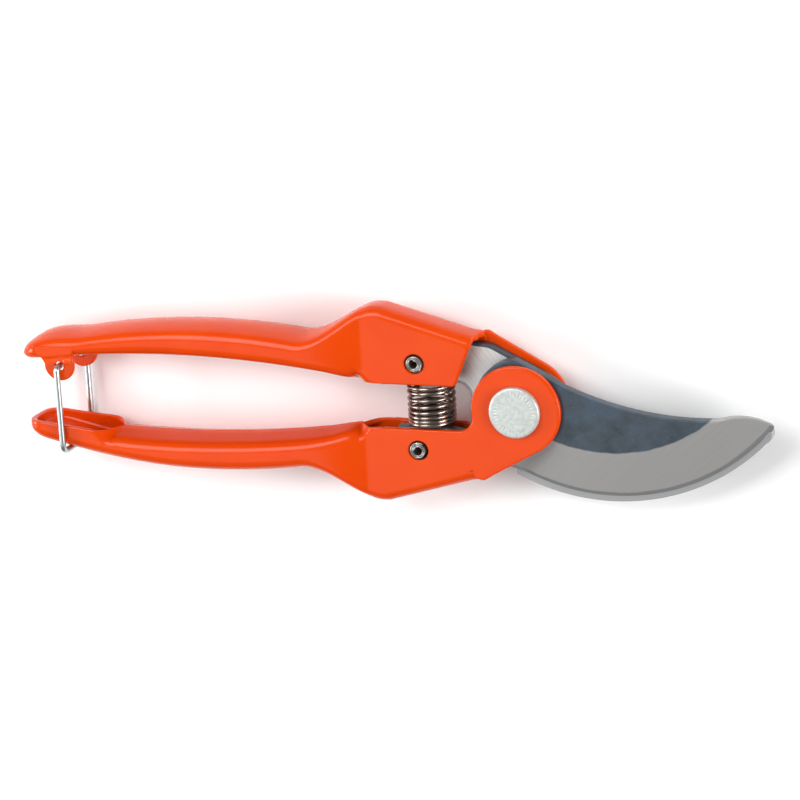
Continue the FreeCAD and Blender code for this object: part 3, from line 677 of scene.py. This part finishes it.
# The cutting blade is blackened all over and then hollow-ground, so the oxide ends where the wheel
# stopped: along an arc about the edge's centre, and along a straight run-out near the ear.
cutting_steel, tree, shader = finish("blackened steel with a ground edge")
place = node(tree, "TexCoord").outputs["Object"]
waver = node(tree, "TexNoise", {"Vector": place, "Scale": 260.0, "Detail": 2.0}).outputs["Fac"]
level = node(tree, "VectorMath", {0: place, 1: (1, 1, 0)}, operation="MULTIPLY").outputs[0]
radius = node(tree, "VectorMath", {0: level, 1: (EDGE_X * 0.001, EDGE_Y * 0.001, 0)},
              operation="DISTANCE").outputs["Value"]
radius = node(tree, "Math", {0: waver, 1: 0.0006, 2: radius}, operation="MULTIPLY_ADD").outputs[0]
hollow = node(tree, "MapRange", {"Value": radius, "From Min": (HOLLOW_RADIUS + 0.1) * 0.001,
                                 "From Max": (HOLLOW_RADIUS + 0.6) * 0.001}).outputs["Result"]
offset = node(tree, "VectorMath", {0: level, 1: (GRIND_X * 0.001, GRIND_Y * 0.001, 0)},
              operation="SUBTRACT").outputs[0]
beside = node(tree, "VectorMath", {0: offset, 1: (GRIND_ACROSS_X, GRIND_ACROSS_Y, 0)},
              operation="DOT_PRODUCT").outputs["Value"]
begun = node(tree, "MapRange", {"Value": beside, "From Min": -0.0085, "From Max": -0.0055,
                                "To Min": 0.25}).outputs["Result"]
near = node(tree, "SeparateXYZ", {0: node(tree, "NewGeometry").outputs["Normal"]}).outputs["Z"]
near = node(tree, "MapRange", {"Value": near, "From Min": -0.5, "From Max": -0.2}).outputs["Result"]
bare = node(tree, "Math", {0: hollow, 1: begun}, operation="MULTIPLY").outputs[0]
bare = node(tree, "Math", {0: bare, 1: near}, operation="MULTIPLY").outputs[0]
marks = wheel_marks(tree, 41.0, 1500.0, 45.0)
ground = ramp(tree, marks, (0.3, "#A6A5A4"), (0.7, "#ACABAA"))
second = node(tree, "MapRange", {"Value": radius, "From Min": 0.0575, "From Max": 0.0577,
                                 "To Max": 0.75}).outputs["Result"]
ground = node(tree, "Mix", {0: second, 6: ground, 7: srgb("#838384")}, data_type="RGBA").outputs[2]
mixed = node(tree, "Mix", {0: bare, 6: oxide(tree), 7: ground}, data_type="RGBA").outputs[2]
tree.links.new(mixed, shader.inputs["Base Color"])
metal = node(tree, "MapRange", {"Value": bare, "To Min": 0.55, "To Max": 0.45}).outputs["Result"]
tree.links.new(metal, shader.inputs["Metallic"])
dent = node(tree, "Bump", {"Height": marks, "Strength": 0.03, "Distance": 0.00005})
tree.links.new(dent.outputs["Normal"], shader.inputs["Normal"])
shader.inputs["Roughness"].default_value = 0.4


def hollowed(x, y):
    """Height of the cutting blade's near face: the plate's, less a quarter of the distance outside
    the hollow's arc, fading out beside the run-out line, and twice as steep along the edge.
    """
    out = np.hypot(x - EDGE_X, y - EDGE_Y)
    beside = (x - GRIND_X) * GRIND_ACROSS_X + (y - GRIND_Y) * GRIND_ACROSS_Y
    fall = 0.25 * np.clip(out - HOLLOW_RADIUS, 0, None) + 0.25 * np.clip(out - 57.3, 0, None)
    return PLATE_OUTER - fall * ease(beside, -7.0, 0.5)


def tang(throat_x, throat_y, throat_radius, end):
    """Outline of a tang in the upper place: from the channel's front along its back, round the
    end, along the edge beside the spring with its peg, to the throat below the round head, which
    is an arc about the given point.
    """
    back = 3.3
    end_y = float(back_line(TANG_END_X)) - back
    left, right = SPRING_X - PEG_HALF, SPRING_X + PEG_HALF
    return np.concatenate([
        run((WEB_FRONT_X - 1.0, float(back_line(-12.0)) - back), (TANG_END_X + 1.5, end_y),
            (TANG_END_X, end_y - 1.5), (TANG_END_X, TANG_EDGE_Y), (left, TANG_EDGE_Y),
            (left, PEG_TIP_Y + 0.6), (left + 0.6, PEG_TIP_Y), (right - 0.6, PEG_TIP_Y),
            (right, PEG_TIP_Y + 0.6), (right, TANG_EDGE_Y), (right + 1.2, TANG_EDGE_Y),
            (throat_x, throat_y + throat_radius)),
        circle(throat_x, throat_y, throat_radius, 90, end, 14)])


def head_circle(start, end):
    """Part of the round head, between two angles."""
    return circle(0, 0, HEAD_RADIUS, start, end, 40)


# Blackened steel is left on the hooked blade's edges round the tang and shank, and is ground off
# outside the hook.
hook_edge, tree, shader = finish("blackened steel rubbed bright outside the hook")
place = node(tree, "TexCoord").outputs["Object"]
height = node(tree, "SeparateXYZ", {0: place}).outputs["Y"]
bare = node(tree, "MapRange", {"Value": height, "From Min": 0.010, "From Max": 0.007}).outputs[0]
mixed = node(tree, "Mix", {0: bare, 6: oxide(tree), 7: srgb("#A6A7A8")}, data_type="RGBA").outputs[2]
tree.links.new(mixed, shader.inputs["Base Color"])
shader.inputs["Metallic"].default_value = 0.5
shader.inputs["Roughness"].default_value = 0.4

# The hooked blade holds the branch. Its back runs just outside the cutting edge, and its jaw is
# hidden behind the cutting blade while the tool is closed.
hook = Shell()
hook_back = arc((-2.0, -19.85), (25.63, -26.5), (69.5, -7.6))
jaw = arc((70.9, -4.2), (37.0, -17.2), (12.0, -8.0), 1.5)
front_arc = arc((12.0, -8.0), (13.2, -1.0), (10.9, 6.7), 1.5)[1:-1]
shoulder = run((10.9, 6.7), (8.0, 8.8), (-7.2, 16.7)), arc((-7.2, 16.7), (-9.2, 17.4), (-11.4, 17.6), 0.5)
outline = np.concatenate([hook_back, arc((69.9, -7.4), (71.0, -5.9), (70.9, -4.2), 0.4)[:-1], jaw,
                          front_arc, *shoulder, tang(-18.9, 1.75, 4.5, -5)[1:], head_circle(173, 262)[1:]])
holes = [circle(0, 0, 4.05, 0, 360, 41)[:-1], circle(PIN_X, PIN_Y, 2.55, 0, 360, 31)[:-1]]
rounding = 0.35 * np.clip((71.5 - outline[:, 0]) / 22.0, 0.1, 1)
hook.plate([outline, *holes], -PLATE_OUTER, -PLATE_INNER, rounding, slots=(0, 1))
hooked_blade = hook.piece("hooked_blade", [ground_face, hook_edge])
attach(hooked_blade, "upper")
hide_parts("counter_blade")

# The cutting blade: its outline goes along the edge, round the tip, back along the hollow spine to
# the head, and round the tang, which is the other blade's turned over.
low_y = EDGE_Y - math.sqrt(EDGE_RADIUS ** 2 - (70.3 - EDGE_X) ** 2)
start_y = EDGE_Y - math.sqrt(EDGE_RADIUS ** 2 - (-4.2 - EDGE_X) ** 2)
cut = arc((-4.2, start_y), (EDGE_X, EDGE_Y - EDGE_RADIUS), (70.3, low_y))
rest = np.concatenate([
    arc((70.3, low_y), (71.7, low_y + 1.6), (70.3, low_y + 3.0), 0.25)[1:-1],
    arc((70.3, low_y + 3.0), (66.3, -0.1), (57.0, -0.755), 0.6)[:-1],
    arc((57.0, -0.755), (33.0, 0.794), (13.6, 6.93), 0.9)[:-1],
    arc((13.6, 6.93), (6.6, 10.9), (-0.6, 14.45), 0.7)[:-1],
    arc((-0.6, 14.45), (-7.6, 11.5), (-12.3, 3.2)),
    (tang(-16.83, 2.6, 4.4, -12)[::-1] * (1, -1)), [(-8.2, -17.3)]])
outline = np.concatenate([cut, rest])
rounding = np.concatenate([np.full(len(cut), 0.04), np.full(len(rest), 0.35)])
rounding[len(cut) - 2:len(cut) + 3] = 0.1
out, turn = np.meshgrid([44.3, 44.8, 45.2, 45.8, 47.0, 49.0, 51.0, 53.0, 55.0, 56.4, 57.1, 57.3,
                         57.5, 57.9], np.radians(np.arange(-128, -38, 1.2)))
extra = np.stack([EDGE_X + out * np.cos(turn), EDGE_Y + out * np.sin(turn)], axis=-1).reshape(-1, 2)
room = outline + inward(outline) * np.maximum(2.4 * rounding, 0.35)[:, None]
extra = extra[[inside(point, room) for point in extra]]
holes = [loop * (1, -1) for loop in holes]
cutter = Shell()
cutter.plate([outline, *holes], PLATE_INNER, hollowed, rounding, extra=extra)
cutting_blade = cutter.piece("cutting_blade_plate", [cutting_steel], sharp=30.0)
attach(cutting_blade, "lower")
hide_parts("cutting_blade")


# ---------------------------------------------------------------- pivot
# A machine bolt with a wide flat head, zinc plated and tumbled to a satin finish, through a washer
# to a lock nut behind. A ring of short plain strokes is pressed round the head's face.
zinc, tree, shader = finish("satin zinc plating")
place = node(tree, "TexCoord").outputs["Object"]
grain = node(tree, "TexNoise", {"Vector": place, "Scale": 900.0, "Detail": 3.0}).outputs["Fac"]
tree.links.new(ramp(tree, grain, (0.3, "#C0C6C2"), (0.7, "#D8DDD9")), shader.inputs["Base Color"])
dent = node(tree, "Bump", {"Height": grain, "Strength": 0.15, "Distance": 0.00005})
tree.links.new(dent.outputs["Normal"], shader.inputs["Normal"])
shader.inputs["Metallic"].default_value = 0.45
shader.inputs["Roughness"].default_value = 0.45


def revolved(profile, steps=96):
    """A profile of radius and height carried round the pivot."""
    turn = np.radians(np.linspace(0, 360, steps + 1))[None, :-1]
    out, height = (np.array(profile, float)[:, k, None] for k in (0, 1))
    return np.stack([out * np.cos(turn), out * np.sin(turn), height + 0 * turn], axis=-1)


def bolt_face():
    """The head's face in rings: flat, with strokes sunk where the angle's wave and the distance
    from a ring of radius 5.5 are both inside them, and rolled over at the rim.
    """
    turn = np.radians(np.linspace(0, 360, 433))[None, :-1]
    out = np.concatenate([[0.001], np.linspace(1, 4.4, 6), np.linspace(4.55, 6.3, 15)])[:, None]
    wave = ease(np.cos(36 * turn), 0.1, 0.75)
    long = np.where(np.cos(9 * turn) > 0.85, 0.75, 0.5)
    ring = ease(np.abs(out - 5.5), long + 0.12, long - 0.12)
    height = 7.35 - 0.06 * wave * ring - 0.0012 * out ** 2
    face = np.stack([out * np.cos(turn), out * np.sin(turn), height], axis=-1)
    rim = revolved([(6.75, 7.28), (7.0, 7.21), (7.2, 7.05), (7.29, 6.8), (7.3, 6.5), (7.3, 5.78),
                    (4.0, 5.75), (4.0, 0.0), (4.0, -11.2), (3.7, -11.69), (0.001, -11.69)], 432)
    return np.concatenate([face, rim])


bolt = Shell()
bolt.surface(bolt_face(), round_columns=True)
pivot = bolt.piece("pivot_bolt_head_and_shank", [zinc])
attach(pivot, "lower")
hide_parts("pivot_bolt")

washer = Shell()
rows = revolved([(4.1, -5.85), (4.2, -5.76), (7.8, -5.76), (8.0, -5.95), (8.0, -6.8), (7.85, -6.95),
                 (4.2, -6.95), (4.1, -6.85)])
washer.surface(rows, round_rows=True, round_columns=True)
flat_washer = washer.piece("pivot_flat_washer", [zinc])
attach(flat_washer, "lower")
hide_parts("pivot_washer")


def hexagon(height, cone):
    """One level of the nut: six flats 13 apart, with corners cut where a cone is narrower."""
    turn = np.radians(np.linspace(0, 360, 145))[:-1]
    flat = 6.5 / np.cos((turn + np.pi / 6) % (np.pi / 3) - np.pi / 6)
    out = np.minimum(flat, cone)
    return np.stack([out * np.cos(turn), out * np.sin(turn), np.full(144, height)], axis=-1)


def ring(out, height):
    """One round level of the nut."""
    turn = np.radians(np.linspace(0, 360, 145))[:-1]
    return np.stack([out * np.cos(turn), out * np.sin(turn), np.full(144, height)], axis=-1)


nut = Shell()
levels = [hexagon(-7.0 - h, 6.3 + 1.9 * h) for h in (0.0, 0.2, 0.4, 0.6)]
levels += [hexagon(-7.0 - h, 6.3 + 1.9 * (4.7 - h)) for h in (4.1, 4.3, 4.5, 4.7)]
levels += [ring(4.6, -11.7), ring(4.05, -11.2), ring(4.05, -7.1), ring(4.6, -7.0)]
nut.surface(np.stack(levels), round_rows=True, round_columns=True)
lock_nut = nut.piece("pivot_lock_nut", [zinc])
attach(lock_nut, "lower")
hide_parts("pivot_nut")


# ---------------------------------------------------------------- coiled pins
# Two pins rolled from 0.4 mm spring-steel strip, two and a third turns each, driven through a
# handle and its tang. The end shows the strip as a dark-edged spiral round an open centre.
pin_steel, tree, shader = finish("phosphated spring steel strip")
place = node(tree, "TexCoord").outputs["Object"]
grain = node(tree, "TexNoise", {"Vector": place, "Scale": 1500.0, "Detail": 3.0}).outputs["Fac"]
tree.links.new(ramp(tree, grain, (0.3, "#8A8886"), (0.7, "#B5B2AE")), shader.inputs["Base Color"])
shader.inputs["Metallic"].default_value = 0.9
shader.inputs["Roughness"].default_value = 0.35
PIN_HALF = 6.2


def coiled_strip(y, start, turns):
    """A spiral whose radius falls by the strip and a small gap each turn, drawn out along Z; its
    ends are chamfered towards the strip's middle and closed.
    """
    angle = np.radians(start + np.linspace(0, 360 * turns, 150))
    out = 2.5 - 0.47 * np.linspace(0, turns, 150)
    shell = Shell()

    def line(inset):
        """The strip's closed outline, in by inset on both sides."""
        both = np.concatenate([out - inset, (out - 0.4 + inset)[::-1]])
        way = np.concatenate([angle, angle[::-1]])
        return np.stack([PIN_X + both * np.cos(way), y + both * np.sin(way)], axis=-1)

    insets = ((0.16, -PIN_HALF), (0.03, 0.08 - PIN_HALF), (0.0, 0.25 - PIN_HALF),
              (0.0, PIN_HALF - 0.25), (0.03, PIN_HALF - 0.08), (0.16, PIN_HALF))
    levels = [np.column_stack([line(i), np.full(300, z)]) for i, z in insets]
    shell.surface(np.stack(levels), round_columns=True)
    for level in (levels[0], levels[-1]):
        shell.surface(np.stack([level[:150], level[150:][::-1]]))
    return shell


for name, body, node_name, y, start, turns in (
        ("upper_coiled_pin", "upper", "upper_roll_pin", PIN_Y, -50, 2.4),
        ("lower_coiled_pin", "lower", "lower_roll_pin", -PIN_Y, 52, 2.32)):
    pin = coiled_strip(y, start, turns).piece(name, [pin_steel])
    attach(pin, body)
    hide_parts(node_name)


# ---------------------------------------------------------------- spring
# A compression coil of 1.2 mm hard-drawn wire, blued dark brown by heat, pushed over the pegs of
# the two blades. Its ends are closed, and it stands a little wider spaced towards the top.
blued, tree, shader = finish("heat-blued spring wire")
place = node(tree, "TexCoord").outputs["Object"]
cloud = node(tree, "TexNoise", {"Vector": place, "Scale": 400.0, "Detail": 2.0}).outputs["Fac"]
tree.links.new(ramp(tree, cloud, (0.3, "#80736B"), (0.7, "#AC9E94")), shader.inputs["Base Color"])
shader.inputs["Metallic"].default_value = 1.0
shader.inputs["Roughness"].default_value = 0.24
COIL_RADIUS, COIL_WIRE, COIL_TURNS, COIL_END_Y = 6.3, 0.6, 7.8, 5.65


def tube(path, radius, first_up, sides=14):
    """A round bar about a path: at each point a circle square to the path, and closed ends."""
    along = np.gradient(path, axis=0)
    along /= np.linalg.norm(along, axis=1, keepdims=True)
    up = np.broadcast_to(first_up, path.shape) - 0.0
    up = up - along * np.sum(up * along, axis=1, keepdims=True)
    up /= np.linalg.norm(up, axis=1, keepdims=True)
    out = np.cross(along, up)
    turn = np.linspace(0, 2 * np.pi, sides + 1)[None, :-1, None]
    radius = np.broadcast_to(radius, len(path))[:, None, None]
    rings = path[:, None] + radius * (np.cos(turn) * up[:, None] + np.sin(turn) * out[:, None])
    ends = [np.repeat(path[k][None, None], sides, axis=1) for k in (0, -1)]
    return np.concatenate([ends[0], rings, ends[1]])


share = np.linspace(0, 1, 640)
pitch = 0.72 + 0.85 * ease(share, 0.08, 0.82) - 0.85 * ease(share, 0.84, 0.97)
rise = np.cumsum(pitch)
rise = (rise - rise[0]) / (rise[-1] - rise[0])
turn = 2 * np.pi * COIL_TURNS * share + 0.6
coil_path = np.stack([SPRING_X + COIL_RADIUS * np.cos(turn), COIL_END_Y * (2 * rise - 1),
                      -COIL_RADIUS * np.sin(turn)], axis=-1)
coil = Shell()
coil.surface(tube(coil_path, COIL_WIRE, (0.0, 1.0, 0.0)), round_columns=True)
coil_spring = coil.piece("coil_spring", [blued], sharp=60.0)
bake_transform(coil_spring)
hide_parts("spring")


# ---------------------------------------------------------------- wire catch
# A loop of 1.8 mm bright zinc-plated wire. Its ends turn in through the lugs of the upper handle,
# and its bar lies under the lower handle's back to hold the tool shut.
bright_zinc, tree, shader = finish("bright zinc-plated wire")
place = node(tree, "TexCoord").outputs["Object"]
drawn = node(tree, "Mapping", {"Vector": place, "Scale": (900.0, 60.0, 900.0)})
marks = node(tree, "TexNoise", {"Vector": drawn.outputs["Vector"], "Scale": 1.0}).outputs["Fac"]
tree.links.new(ramp(tree, marks, (0.3, "#AFBABD"), (0.7, "#D2DADB")), shader.inputs["Base Color"])
shader.inputs["Metallic"].default_value = 1.0
shader.inputs["Roughness"].default_value = 0.28
WIRE, LEG_Z, STUB_Z = 0.9, 10.3, 6.4


def bent(corners, bends, step=0.35):
    """Straight runs through corners, each inner corner rounded by a tangent arc."""
    spots, start = [], np.array(corners[0], float)
    for before, corner, after, bend in zip(corners, corners[1:], corners[2:], bends):
        before, corner, after = (np.array(p, float) for p in (before, corner, after))
        back = (before - corner) / np.linalg.norm(before - corner)
        on = (after - corner) / np.linalg.norm(after - corner)
        first, centre = corner + back * bend, corner + (back + on) * bend
        count = max(int(np.linalg.norm(first - start) / step / 3), 1)
        spots.append(start + (first - start) * np.linspace(0, 1, count + 1)[:-1, None])
        angle = np.linspace(0, np.pi / 2, 9)[:, None]
        spots.append(centre - on * bend * np.cos(angle) - back * bend * np.sin(angle))
        start = corner + on * bend
        spots[-1] = spots[-1][:-1]
    spots.append(start + (np.array(corners[-1]) - start) * np.linspace(0, 1, 5)[:, None])
    return np.concatenate(spots)


bar_y = 1.0 - float(LOWER_ENDING.back(LOOP_X)) - 1.1
loop_path = bent([(LOOP_X, LOOP_Y, STUB_Z), (LOOP_X, LOOP_Y, LEG_Z), (LOOP_X, bar_y, LEG_Z),
                  (LOOP_X, bar_y, -LEG_Z), (LOOP_X, LOOP_Y, -LEG_Z), (LOOP_X, LOOP_Y, -STUB_Z)],
                 [1.45, 2.4, 2.4, 1.45])
loop = Shell()
loop.surface(tube(loop_path, WIRE, (1.0, 0.0, 0.0), 18), round_columns=True)
wire_catch = loop.piece("wire_catch_loop", [bright_zinc], sharp=60.0)
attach(wire_catch, "catch")
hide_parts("wire_catch")
